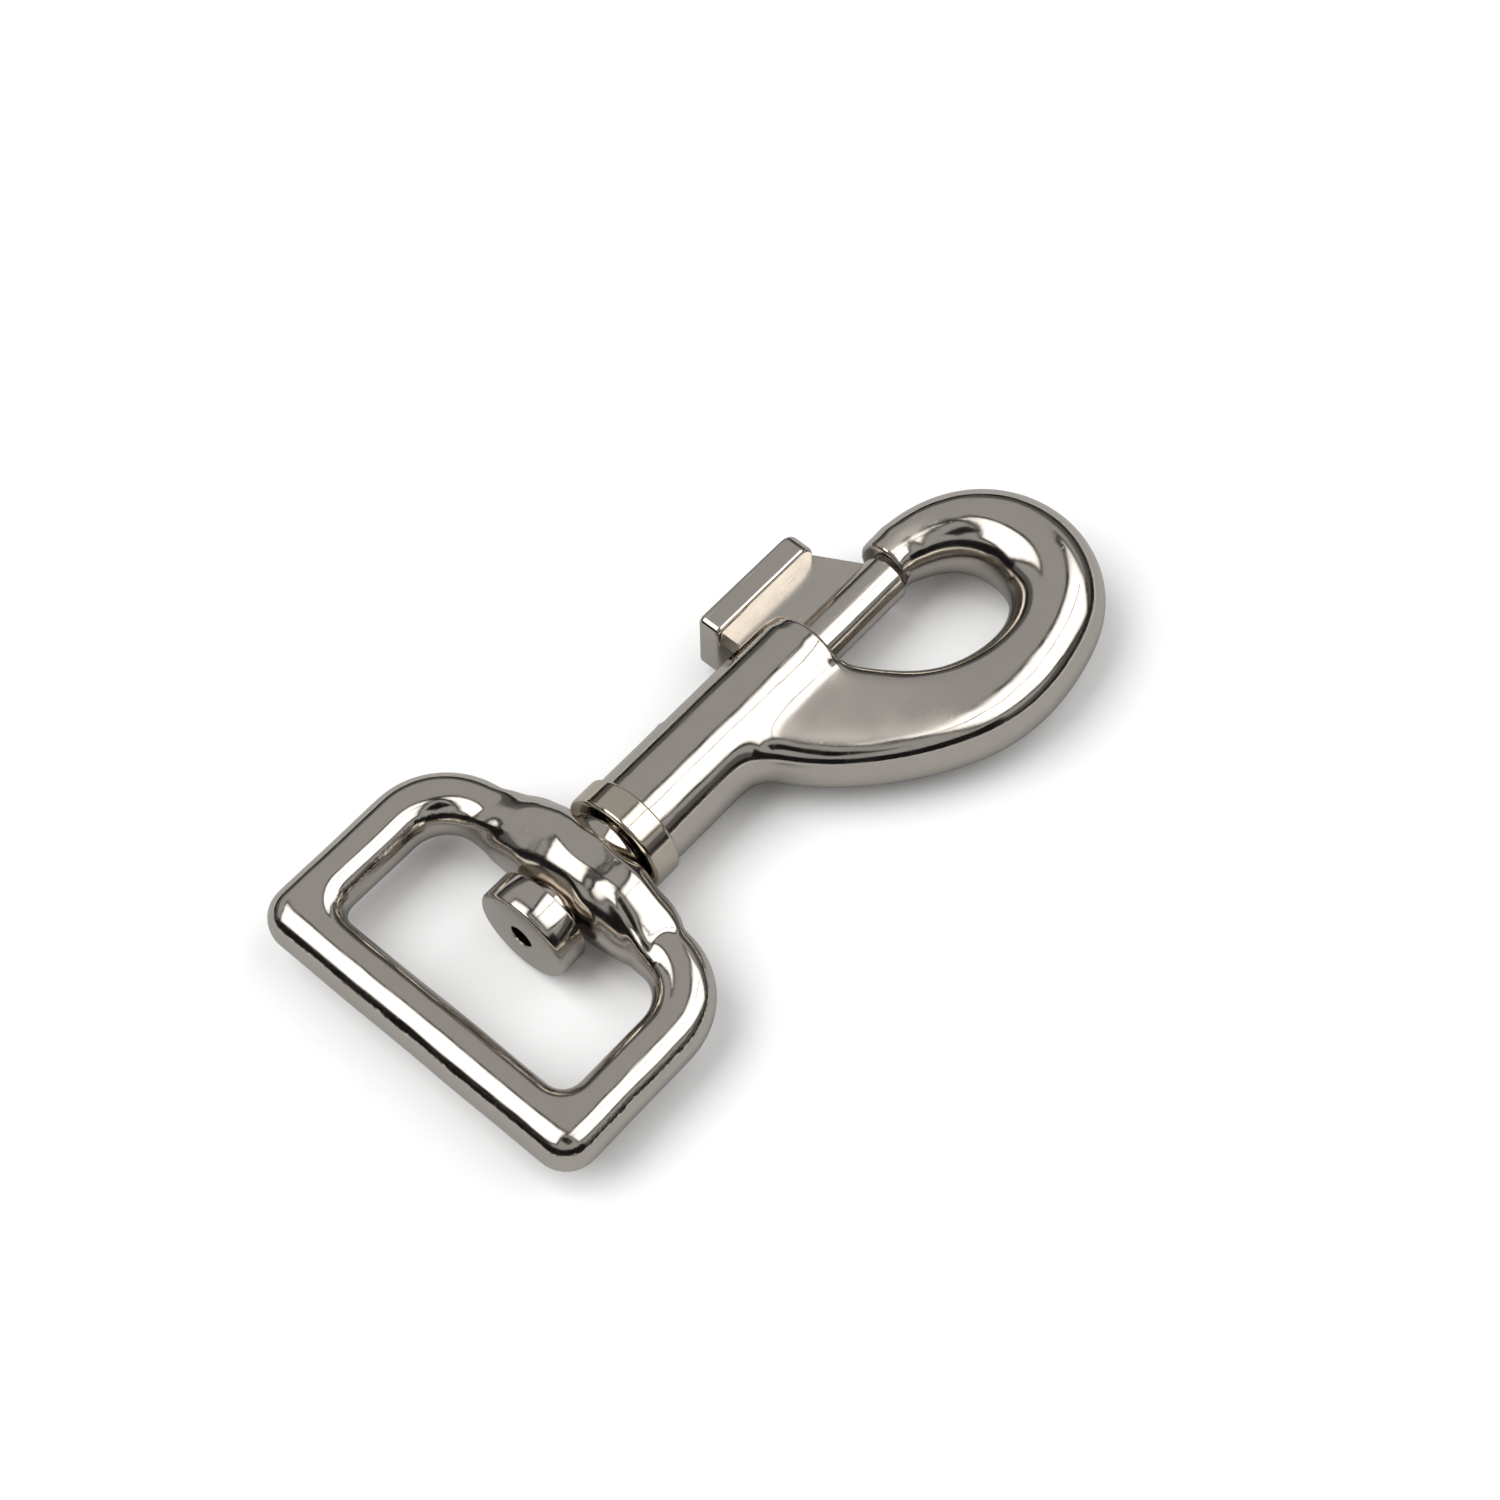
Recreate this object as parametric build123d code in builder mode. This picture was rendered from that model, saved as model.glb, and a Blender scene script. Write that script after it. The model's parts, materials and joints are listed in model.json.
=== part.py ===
from build123d import *
import math
import os

# Frame: +X runs along the swivel axis from the strap bar to the crown of the hook,
# +Y points at the thumb piece and +Z is up with the snap lying on its side.
# The origin is the middle of the strap bar, on the swivel axis.

# ---- swivel eye (mm) ----
STRAP_WIDTH = 25.5
BAR_THICKNESS = 5.0
BAR_ROUND = 2.35
OPENING_DEPTH = 12.5
SHOULDER_WIDTH = 5.0
EYE_TOP_RADIUS = 7.8
EYE_FOOT_RADIUS = 3.0
OPENING_TOP_RADIUS = 3.4
OPENING_FOOT_RADIUS = 1.75
HUB_START_X = 16.0
HUB_END_X = 21.3
HUB_HEIGHT = 9.8
HUB_SQUARENESS = 3.2

# ---- swivel post and end collar (mm) ----
POST_DIAMETER = 4.6
POST_END_X = 27.5
HEAD_DIAMETER = 9.2
HEAD_FACE_X = 10.9
HEAD_LENGTH = 3.0
HEAD_STEP = 0.6
HEAD_STEP_Z = 0.5
HEAD_HOLE_DIAMETER = 2.3
HEAD_HOLE_DEPTH = 2.4
HEAD_EDGE_ROUND = 0.25
COLLAR_DIAMETER = 10.1
COLLAR_START_X = 22.2
COLLAR_END_X = 25.1
COLLAR_EDGE_ROUND = 0.35

# ---- barrel (mm) ----
BARREL_DIAMETER = 9.0
BARREL_START_X = 23.0
MOUTH_X = 47.6
MOUTH_ROUND = 0.6
BORE_START_X = 28.0
SLOT_HALF_WIDTH = 1.25
SLOT_START_X = 34.2
ROOT_ROUND = 2.0
NOSE_X = 58.7
NOSE_RECESS_DIAMETER = 3.8
NOSE_RECESS_DEPTH = 0.6

# ---- bolt (mm) ----
BOLT_DIAMETER = 4.5
BOLT_BACK_X = 43.0
BOLT_TIP_X = 58.3
BOLT_TIP_ROUND = 0.35
WEB_THICKNESS = 1.9
WEB_BACK_X = 43.8
WEB_FRONT_X = 57.5
WEB_FRONT_FOOT_Y = 2.0
THUMB_BACK_X = 42.3
THUMB_FRONT_X = 55.1
THUMB_INNER_Y = 5.85
THUMB_OUTER_Y = 8.2
THUMB_HALF_HEIGHT = 3.4
THUMB_FRONT_ROUND = 2.0
THUMB_BACK_ROUND = 0.7
THUMB_EDGE_ROUND = 0.4

# ---- spring (mm) ----
SPRING_WIRE = 0.45
SPRING_MEAN_RADIUS = 1.8
SPRING_COILS = 11
SPRING_END_GAP = 0.02

# ---- clearances (mm) ----
BOLT_CLEARANCE = 0.06
POST_CLEARANCE = 0.08

bar_half = BAR_THICKNESS / 2
opening_half_width = STRAP_WIDTH / 2
eye_half_width = opening_half_width + BAR_THICKNESS
opening_top_x = bar_half + OPENING_DEPTH
eye_top_x = opening_top_x + SHOULDER_WIDTH
hub_middle_x = (HUB_START_X + HUB_END_X) / 2
hub_half_length = (HUB_END_X - HUB_START_X) / 2
post_radius = POST_DIAMETER / 2
head_radius = HEAD_DIAMETER / 2
collar_radius = COLLAR_DIAMETER / 2
barrel_radius = BARREL_DIAMETER / 2
bolt_radius = BOLT_DIAMETER / 2
bore_radius = bolt_radius + BOLT_CLEARANCE
spring_start_x = BORE_START_X + SPRING_WIRE / 2 + SPRING_END_GAP
spring_length = BOLT_BACK_X - BORE_START_X - SPRING_WIRE - 2 * SPRING_END_GAP

# Stations of the crescent arm, root first: centre x, centre y, heading in degrees,
# half width in the plane of the hook, half height and squareness of the section.
ARM_STATIONS = [
    (41.5, 0.6, -90, 5.8, 3.0, 5.0),
    (42.0, -4.4, -76, 5.6, 3.0, 5.0),
    (44.6, -8.1, -60, 5.1, 3.0, 5.0),
    (47.9, -11.5, -45, 4.4, 3.1, 4.6),
    (52.5, -14.4, -22, 4.0, 3.4, 3.4),
    (58.6, -15.5, 2, 3.8, 3.8, 2.4),
    (64.1, -14.3, 34, 4.1, 4.0, 2.0),
    (67.7, -11.1, 66, 4.3, 4.0, 2.0),
    (68.6, -7.1, 92, 4.3, 4.0, 2.0),
    (67.7, -3.6, 116, 3.9, 3.9, 2.0),
    (65.1, -0.9, 143, 3.3, 3.6, 2.0),
    (61.8, 0.5, 164, 2.8, 3.1, 2.0),
    (NOSE_X, 0.75, 180, 2.6, 2.8, 2.0),
]

# Stations across the hub of the eye: distance from the axis, centre x, half length
# along the axis and half height.
HUB_STATIONS = [
    (-11.0, 17.4, 2.2, 2.2),
    (-8.4, 17.9, 2.6, 2.9),
    (-5.4, 18.4, 2.7, 4.1),
    (0.0, hub_middle_x, hub_half_length, HUB_HEIGHT / 2),
    (5.4, 18.4, 2.7, 4.1),
    (8.4, 17.9, 2.6, 2.9),
    (11.0, 17.4, 2.2, 2.2),
]
SECTION_POINTS = 32


def squared_ellipse(half_width, half_height, squareness):
    """Points round a squared-off ellipse, evenly spread in angle."""
    points = []
    for step in range(SECTION_POINTS):
        angle = 2 * math.pi * (step + 0.5) / SECTION_POINTS
        reach = (
            abs(math.cos(angle) / half_width) ** squareness
            + abs(math.sin(angle) / half_height) ** squareness
        ) ** (-1 / squareness)
        points.append((reach * math.cos(angle), reach * math.sin(angle)))
    return points


def station_plane(x, y, heading):
    """The plane square to the arm at one station, its local x in the plane of the hook."""
    along = (math.cos(math.radians(heading)), math.sin(math.radians(heading)), 0)
    sideways = (-along[1], along[0], 0)
    return Plane(origin=(x, y, 0), x_dir=sideways, z_dir=along)


# ---- hook body ----
with BuildPart() as hook_body:
    with BuildSketch(Plane.YZ.offset(BARREL_START_X)):
        Circle(barrel_radius)
    extrude(amount=MOUTH_X - BARREL_START_X)
    mouth_edges = hook_body.edges().filter_by(GeomType.CIRCLE).sort_by(Axis.X)[-1:]
    fillet(mouth_edges, radius=MOUTH_ROUND)
    for x, y, heading, half_width, half_height, squareness in ARM_STATIONS:
        with BuildSketch(station_plane(x, y, heading)):
            with BuildLine():
                Spline(*squared_ellipse(half_width, half_height, squareness), periodic=True)
            make_face()
    loft()
    root_edges = hook_body.edges().filter_by(GeomType.BSPLINE)
    root_edges = root_edges.filter_by_position(Axis.X, SLOT_START_X, MOUTH_X)
    root_edges = root_edges.filter_by_position(Axis.Y, -barrel_radius, -bolt_radius)
    fillet(root_edges, radius=ROOT_ROUND)
    with BuildSketch(Plane.YZ.offset(BORE_START_X)):
        Circle(bore_radius)
    extrude(amount=NOSE_X - BORE_START_X, mode=Mode.SUBTRACT)
    with BuildSketch(Plane.YZ.offset(NOSE_X)):
        Circle(NOSE_RECESS_DIAMETER / 2)
    extrude(amount=NOSE_RECESS_DEPTH, taper=30, mode=Mode.SUBTRACT)
    with BuildSketch(Plane.XY.offset(-SLOT_HALF_WIDTH)):
        with Locations((SLOT_START_X, 0)):
            Rectangle(NOSE_X - SLOT_START_X, 2 * barrel_radius, align=(Align.MIN, Align.MIN))
    extrude(amount=2 * SLOT_HALF_WIDTH, mode=Mode.SUBTRACT)
    with BuildSketch(Plane.YZ.offset(BARREL_START_X)):
        Circle(post_radius)
    extrude(amount=POST_END_X - BARREL_START_X, mode=Mode.SUBTRACT)
hook_body.part.label = "hook_body"

# ---- end collar ----
with BuildPart() as end_collar:
    with BuildSketch(Plane.YZ.offset(COLLAR_START_X)):
        Circle(collar_radius)
    extrude(amount=COLLAR_END_X - COLLAR_START_X)
    fillet(end_collar.edges().filter_by(GeomType.CIRCLE), radius=COLLAR_EDGE_ROUND)
    with BuildSketch(Plane.YZ.offset(COLLAR_START_X)):
        Circle(post_radius)
    extrude(amount=BARREL_START_X - COLLAR_START_X, mode=Mode.SUBTRACT)
    with BuildSketch(Plane.YZ.offset(BARREL_START_X)):
        Circle(barrel_radius)
    extrude(amount=COLLAR_END_X - BARREL_START_X, mode=Mode.SUBTRACT)
end_collar.part.label = "end_collar"

# ---- swivel post ----
with BuildPart() as swivel_post:
    with BuildSketch(Plane.YZ.offset(HEAD_FACE_X)):
        Circle(head_radius)
        with Locations((0, HEAD_STEP_Z)):
            Rectangle(HEAD_DIAMETER, head_radius, align=(Align.CENTER, Align.MIN), mode=Mode.SUBTRACT)
        Circle(head_radius - HEAD_STEP)
    extrude(amount=HEAD_LENGTH)
    fillet(swivel_post.faces().sort_by(Axis.X)[0].edges(), radius=HEAD_EDGE_ROUND)
    with BuildSketch(Plane.YZ.offset(HEAD_FACE_X + HEAD_LENGTH)):
        Circle(post_radius)
    extrude(amount=POST_END_X - HEAD_FACE_X - HEAD_LENGTH)
    with BuildSketch(Plane.YZ.offset(HEAD_FACE_X)):
        Circle(HEAD_HOLE_DIAMETER / 2)
    extrude(amount=HEAD_HOLE_DEPTH, mode=Mode.SUBTRACT)
swivel_post.part.label = "swivel_post"

# ---- swivel eye ----
with BuildPart() as swivel_eye:
    with BuildSketch(Plane.XY.offset(-bar_half)) as eye_plan:
        with BuildLine():
            Polyline(
                (-bar_half, -eye_half_width),
                (eye_top_x, -eye_half_width),
                (eye_top_x, eye_half_width),
                (-bar_half, eye_half_width),
                close=True,
            )
        make_face()
        fillet(eye_plan.vertices().group_by(Axis.X)[-1], radius=EYE_TOP_RADIUS)
        fillet(eye_plan.vertices().group_by(Axis.X)[0], radius=EYE_FOOT_RADIUS)
    extrude(amount=BAR_THICKNESS)
    with BuildSketch(Plane.XY.offset(-bar_half)) as opening_plan:
        with BuildLine():
            Polyline(
                (bar_half, -opening_half_width),
                (opening_top_x, -opening_half_width),
                (opening_top_x, opening_half_width),
                (bar_half, opening_half_width),
                close=True,
            )
        make_face()
        fillet(opening_plan.vertices().group_by(Axis.X)[-1], radius=OPENING_TOP_RADIUS)
        fillet(opening_plan.vertices().group_by(Axis.X)[0], radius=OPENING_FOOT_RADIUS)
    extrude(amount=BAR_THICKNESS, mode=Mode.SUBTRACT)
    rim_faces = swivel_eye.faces().filter_by(Axis.Z)
    fillet(rim_faces.edges(), radius=BAR_ROUND)
    for distance, centre_x, half_length, half_height in HUB_STATIONS:
        with BuildSketch(Plane(origin=(centre_x, distance, 0), x_dir=(1, 0, 0), z_dir=(0, 1, 0))):
            with BuildLine():
                Spline(*squared_ellipse(half_length, half_height, HUB_SQUARENESS), periodic=True)
            make_face()
    loft()
    with BuildSketch(Plane.YZ.offset(opening_top_x - 1)):
        Circle(post_radius + POST_CLEARANCE)
    extrude(amount=HUB_END_X - opening_top_x + 2, mode=Mode.SUBTRACT)
swivel_eye.part.label = "swivel_eye"

# ---- bolt ----
with BuildPart() as bolt:
    with BuildSketch(Plane.XZ.offset(-THUMB_OUTER_Y)) as thumb_plan:
        with Locations((THUMB_BACK_X, 0)):
            Rectangle(
                THUMB_FRONT_X - THUMB_BACK_X,
                2 * THUMB_HALF_HEIGHT,
                align=(Align.MIN, Align.CENTER),
            )
        fillet(thumb_plan.vertices().group_by(Axis.X)[-1], radius=THUMB_FRONT_ROUND)
        fillet(thumb_plan.vertices().group_by(Axis.X)[0], radius=THUMB_BACK_ROUND)
    extrude(amount=THUMB_OUTER_Y - THUMB_INNER_Y)
    thumb_faces = bolt.faces().filter_by(Axis.Y)
    fillet(thumb_faces.edges(), radius=THUMB_EDGE_ROUND)
    with BuildSketch(Plane.YZ.offset(BOLT_BACK_X)):
        Circle(bolt_radius)
    extrude(amount=BOLT_TIP_X - BOLT_BACK_X)
    tip_edges = bolt.edges().filter_by(GeomType.CIRCLE).sort_by(Axis.X)[-1:]
    fillet(tip_edges, radius=BOLT_TIP_ROUND)
    with BuildSketch(Plane.XY.offset(-WEB_THICKNESS / 2)):
        with BuildLine():
            Polyline(
                (WEB_BACK_X, 0),
                (WEB_FRONT_X, 0),
                (WEB_FRONT_X, WEB_FRONT_FOOT_Y),
                (THUMB_FRONT_X, THUMB_INNER_Y + THUMB_EDGE_ROUND),
                (THUMB_FRONT_X - THUMB_FRONT_ROUND, THUMB_INNER_Y + THUMB_EDGE_ROUND),
                (WEB_BACK_X, THUMB_INNER_Y + THUMB_EDGE_ROUND),
                close=True,
            )
        make_face()
    extrude(amount=WEB_THICKNESS)
bolt.part.label = "bolt"

# ---- bolt spring ----
spring_path = Helix(
    pitch=spring_length / SPRING_COILS,
    height=spring_length,
    radius=SPRING_MEAN_RADIUS,
    center=(spring_start_x, 0, 0),
    direction=(1, 0, 0),
)
with BuildPart() as bolt_spring:
    with BuildSketch(Plane(origin=spring_path @ 0, z_dir=spring_path % 0)):
        Circle(SPRING_WIRE / 2)
    sweep(path=spring_path, is_frenet=True)
bolt_spring.part.label = "bolt_spring"

os.makedirs("parts", exist_ok=True)
export_step(hook_body.part, "parts/hook_body.step")
export_step(end_collar.part, "parts/end_collar.step")
export_step(swivel_post.part, "parts/swivel_post.step")
export_step(swivel_eye.part, "parts/swivel_eye.step")
export_step(bolt.part, "parts/bolt.step")
export_step(bolt_spring.part, "parts/bolt_spring.step")
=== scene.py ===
"""Swivel snap hook: finishes, coil spring, small cast details, camera, floor and studio light."""

from __future__ import annotations

import json
import logging
import math
from dataclasses import dataclass, field
from enum import Enum

import bmesh
import bpy
import numpy as np
from mathutils import Matrix, Vector, noise

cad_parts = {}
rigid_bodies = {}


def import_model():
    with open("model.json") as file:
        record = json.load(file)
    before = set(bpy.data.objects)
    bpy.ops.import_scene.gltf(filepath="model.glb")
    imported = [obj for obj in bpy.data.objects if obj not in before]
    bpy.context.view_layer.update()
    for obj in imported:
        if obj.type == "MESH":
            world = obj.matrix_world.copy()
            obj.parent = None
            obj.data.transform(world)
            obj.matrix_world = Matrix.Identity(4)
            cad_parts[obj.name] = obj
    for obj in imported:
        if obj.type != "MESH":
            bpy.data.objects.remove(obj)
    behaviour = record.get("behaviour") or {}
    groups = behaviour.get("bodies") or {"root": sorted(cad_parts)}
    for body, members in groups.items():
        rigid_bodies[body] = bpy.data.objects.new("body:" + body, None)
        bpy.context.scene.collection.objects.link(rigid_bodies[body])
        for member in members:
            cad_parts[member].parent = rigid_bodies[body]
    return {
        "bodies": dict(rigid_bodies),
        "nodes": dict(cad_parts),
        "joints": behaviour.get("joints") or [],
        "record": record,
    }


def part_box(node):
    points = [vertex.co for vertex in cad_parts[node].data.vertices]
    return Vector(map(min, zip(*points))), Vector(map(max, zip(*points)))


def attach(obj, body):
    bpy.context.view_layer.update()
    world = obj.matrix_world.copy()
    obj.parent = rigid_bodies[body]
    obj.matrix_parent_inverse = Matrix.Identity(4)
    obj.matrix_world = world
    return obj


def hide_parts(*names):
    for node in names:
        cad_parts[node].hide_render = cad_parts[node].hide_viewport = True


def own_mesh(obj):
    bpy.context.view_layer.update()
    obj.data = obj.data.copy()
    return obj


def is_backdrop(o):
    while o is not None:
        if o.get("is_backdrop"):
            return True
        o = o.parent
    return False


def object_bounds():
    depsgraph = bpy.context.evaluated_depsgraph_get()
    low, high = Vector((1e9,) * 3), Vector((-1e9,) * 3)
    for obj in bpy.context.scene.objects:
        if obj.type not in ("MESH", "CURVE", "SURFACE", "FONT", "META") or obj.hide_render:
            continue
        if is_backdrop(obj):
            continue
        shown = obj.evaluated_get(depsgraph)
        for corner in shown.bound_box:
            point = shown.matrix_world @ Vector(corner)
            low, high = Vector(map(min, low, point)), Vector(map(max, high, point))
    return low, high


LOG = logging.getLogger("swivel_snap")
MM = 0.001
WAVES_PER_METRE = 210.0
GRAINS_PER_METRE = 2600.0
BLOTCHES_PER_METRE = 420.0
GROOVE_DEPTH = 0.000004
TRIM_LINE_HEIGHT = 0.0016
TRIM_LINE_HALF_WIDTH = 0.00032
SCRATCH_ROUGHNESS = 0.22


class Polish(Enum):
    """How far a nickel surface was taken on the wheel."""

    BRIGHT = 0.12


@dataclass(frozen=True)
class NickelFinish:
    """Nickel plate over a zinc casting.

    Args:
        name: Name of the material.
        tint: Colour of the plate.
        polish: How far the surface was polished.
        wave_height: Depth of the polishing waves, in metres.
        grain_height: Depth of the fine grain, in metres.
        scratches: Strength of the handling scratches, from 0 to 1.
        flat_satin: Roughness added on the flat faces.
        trim_line: Height of the specks that the trimming die left, in metres.
    """

    name: str
    tint: tuple[float, float, float]
    polish: Polish
    wave_height: float = 0.00004
    grain_height: float = 0.000002
    scratches: float = 0.45
    flat_satin: float = 0.0
    trim_line: float = 0.0

    def build(self, surface: bpy.types.NodeTree) -> bpy.types.Material:
        """Makes the material.

        Args:
            surface: The shared cast surface group.

        Returns:
            The finished material.
        """
        material = bpy.data.materials.new(self.name)
        material.use_nodes = True
        tree = material.node_tree
        shader = tree.nodes["Principled BSDF"]
        shader.inputs["Metallic"].default_value = 1.0
        place = tree.nodes.new("ShaderNodeTexCoord")
        group = tree.nodes.new("ShaderNodeGroup")
        group.node_tree = surface
        group.inputs["Tint"].default_value = (*self.tint, 1.0)
        group.inputs["Roughness"].default_value = self.polish.value
        group.inputs["Wave Height"].default_value = self.wave_height
        group.inputs["Grain Height"].default_value = self.grain_height
        group.inputs["Scratches"].default_value = self.scratches
        group.inputs["Flat Satin"].default_value = self.flat_satin
        group.inputs["Trim Line"].default_value = self.trim_line
        tree.links.new(place.outputs["Normal"], group.inputs["Lie"])
        tree.links.new(place.outputs["Object"], group.inputs["Place"])
        tree.links.new(group.outputs["Colour"], shader.inputs["Base Color"])
        tree.links.new(group.outputs["Roughness"], shader.inputs["Roughness"])
        bump = tree.nodes.new("ShaderNodeBump")
        bump.inputs["Strength"].default_value = 1.0
        bump.inputs["Distance"].default_value = 1.0
        tree.links.new(group.outputs["Height"], bump.inputs["Height"])
        tree.links.new(bump.outputs["Normal"], shader.inputs["Normal"])
        return material


@dataclass(frozen=True)
class WireFinish:
    """Drawn spring wire.

    Args:
        name: Name of the material.
        tint: Colour of the wire.
    """

    name: str
    tint: tuple[float, float, float]

    def build(self) -> bpy.types.Material:
        """Makes the material.

        Returns:
            The finished material.
        """
        material = bpy.data.materials.new(self.name)
        material.use_nodes = True
        shader = material.node_tree.nodes["Principled BSDF"]
        shader.inputs["Metallic"].default_value = 1.0
        shader.inputs["Roughness"].default_value = 0.3
        shader.inputs["Base Color"].default_value = (*self.tint, 1.0)
        return material


def math_node(
    tree: bpy.types.NodeTree, operation: str, first: object, second: object
) -> bpy.types.NodeSocket:
    """Adds a two-input math node.

    Args:
        tree: The tree that gets the node.
        operation: Blender's name of the operation.
        first: A socket or a number.
        second: A socket or a number.

    Returns:
        The node's output.
    """
    node = tree.nodes.new("ShaderNodeMath")
    node.operation = operation
    for index, value in enumerate((first, second)):
        if isinstance(value, (int, float)):
            node.inputs[index].default_value = value
        else:
            tree.links.new(value, node.inputs[index])
    return node.outputs[0]


def noise_node(
    tree: bpy.types.NodeTree, place: bpy.types.NodeSocket, scale: float, detail: float
) -> bpy.types.NodeSocket:
    """Adds a noise texture.

    Args:
        tree: The tree that gets the node.
        place: The coordinates.
        scale: Features per metre.
        detail: Number of octaves.

    Returns:
        The factor output.
    """
    node = tree.nodes.new("ShaderNodeTexNoise")
    node.inputs["Scale"].default_value = scale
    node.inputs["Detail"].default_value = detail
    tree.links.new(place, node.inputs["Vector"])
    return node.outputs["Fac"]


def seen_share(tree: bpy.types.NodeTree) -> bpy.types.NodeSocket:
    """Gives 1 for what the camera sees, straight or in metal or through glass, and 0 for the light it sends on.

    Args:
        tree: The tree that gets the nodes.

    Returns:
        The share's output.
    """
    path = tree.nodes.new("ShaderNodeLightPath").outputs
    straight = math_node(tree, "MAXIMUM", path["Is Camera Ray"], path["Is Glossy Ray"])
    return math_node(tree, "MAXIMUM", straight, path["Is Transmission Ray"])


def cast_surface_group() -> bpy.types.NodeTree:
    """Builds the surface shared by all plated castings: polishing waves, grain, scratches and dulling.

    Returns:
        The node group.
    """
    tree = bpy.data.node_groups.new("plated_cast_surface", "ShaderNodeTree")
    face = tree.interface
    face.new_socket("Place", in_out="INPUT", socket_type="NodeSocketVector")
    face.new_socket("Tint", in_out="INPUT", socket_type="NodeSocketColor")
    face.new_socket("Lie", in_out="INPUT", socket_type="NodeSocketVector")
    for name in ("Roughness", "Wave Height", "Grain Height", "Scratches", "Flat Satin", "Trim Line"):
        face.new_socket(name, in_out="INPUT", socket_type="NodeSocketFloat")
    face.new_socket("Colour", in_out="OUTPUT", socket_type="NodeSocketColor")
    face.new_socket("Roughness", in_out="OUTPUT", socket_type="NodeSocketFloat")
    face.new_socket("Height", in_out="OUTPUT", socket_type="NodeSocketFloat")
    start = tree.nodes.new("NodeGroupInput").outputs
    end = tree.nodes.new("NodeGroupOutput").inputs
    place = start["Place"]

    waves = noise_node(tree, place, WAVES_PER_METRE, 1.0)
    grain = noise_node(tree, place, GRAINS_PER_METRE, 2.0)
    blotches = noise_node(tree, place, BLOTCHES_PER_METRE, 3.0)

    turn = tree.nodes.new("ShaderNodeMapping")
    turn.inputs["Rotation"].default_value = (0.3, 0.2, 0.9)
    turn.inputs["Scale"].default_value = (180.0, 5200.0, 5200.0)
    tree.links.new(place, turn.inputs["Vector"])
    streaks = noise_node(tree, turn.outputs["Vector"], 1.0, 2.0)
    narrow = tree.nodes.new("ShaderNodeMapRange")
    narrow.inputs["From Min"].default_value = 0.66
    narrow.inputs["From Max"].default_value = 0.74
    tree.links.new(streaks, narrow.inputs["Value"])
    marks = math_node(tree, "MULTIPLY", narrow.outputs["Result"], start["Scratches"])

    wave_part = math_node(tree, "MULTIPLY", waves, start["Wave Height"])
    grain_part = math_node(tree, "MULTIPLY", grain, start["Grain Height"])
    groove = math_node(tree, "MULTIPLY", marks, -GROOVE_DEPTH)
    height = math_node(tree, "ADD", wave_part, grain_part)
    height = math_node(tree, "ADD", height, groove)
    spot = tree.nodes.new("ShaderNodeSeparateXYZ")
    tree.links.new(place, spot.inputs["Vector"])
    off_line = math_node(tree, "SUBTRACT", math_node(tree, "ABSOLUTE", spot.outputs["Z"], 0.0), TRIM_LINE_HEIGHT)
    off_line = math_node(tree, "ABSOLUTE", off_line, 0.0)
    on_line = math_node(tree, "LESS_THAN", off_line, TRIM_LINE_HALF_WIDTH)
    specks = math_node(tree, "MULTIPLY", noise_node(tree, place, GRAINS_PER_METRE, 2.0), start["Trim Line"])
    height = math_node(tree, "ADD", height, math_node(tree, "MULTIPLY", specks, on_line))
    tree.links.new(height, end["Height"])

    dulling = tree.nodes.new("ShaderNodeMapRange")
    dulling.inputs["From Min"].default_value = 0.35
    dulling.inputs["From Max"].default_value = 0.7
    dulling.inputs["To Min"].default_value = 0.8
    dulling.inputs["To Max"].default_value = 1.35
    tree.links.new(blotches, dulling.inputs["Value"])
    rough = math_node(tree, "MULTIPLY", start["Roughness"], dulling.outputs["Result"])
    worn = math_node(tree, "MULTIPLY", marks, SCRATCH_ROUGHNESS)
    rough = math_node(tree, "ADD", rough, worn)
    lie = tree.nodes.new("ShaderNodeSeparateXYZ")
    tree.links.new(start["Lie"], lie.inputs["Vector"])
    level = tree.nodes.new("ShaderNodeMapRange")
    level.inputs["From Min"].default_value = 0.95
    level.inputs["From Max"].default_value = 0.995
    tree.links.new(math_node(tree, "ABSOLUTE", lie.outputs["Z"], 0.0), level.inputs["Value"])
    low = tree.nodes.new("ShaderNodeMapRange")
    low.inputs["From Min"].default_value = 0.0036
    low.inputs["From Max"].default_value = 0.0031
    tree.links.new(math_node(tree, "ABSOLUTE", spot.outputs["Z"], 0.0), low.inputs["Value"])
    satin = math_node(tree, "MULTIPLY", level.outputs["Result"], start["Flat Satin"])
    satin = math_node(tree, "MULTIPLY", satin, low.outputs["Result"])
    rough = math_node(tree, "ADD", rough, satin)
    tree.links.new(rough, end["Roughness"])

    shade = tree.nodes.new("ShaderNodeMix")
    shade.data_type = "RGBA"
    shade.blend_type = "MULTIPLY"
    shade_a = [s for s in shade.inputs if s.name == "A" and s.type == "RGBA"][0]
    shade_b = [s for s in shade.inputs if s.name == "B" and s.type == "RGBA"][0]
    shade_out = [s for s in shade.outputs if s.type == "RGBA"][0]
    shade_b.default_value = (0.93, 0.92, 0.9, 1.0)
    tree.links.new(blotches, shade.inputs[0])
    tree.links.new(start["Tint"], shade_a)
    tree.links.new(shade_out, end["Colour"])
    return tree


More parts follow.
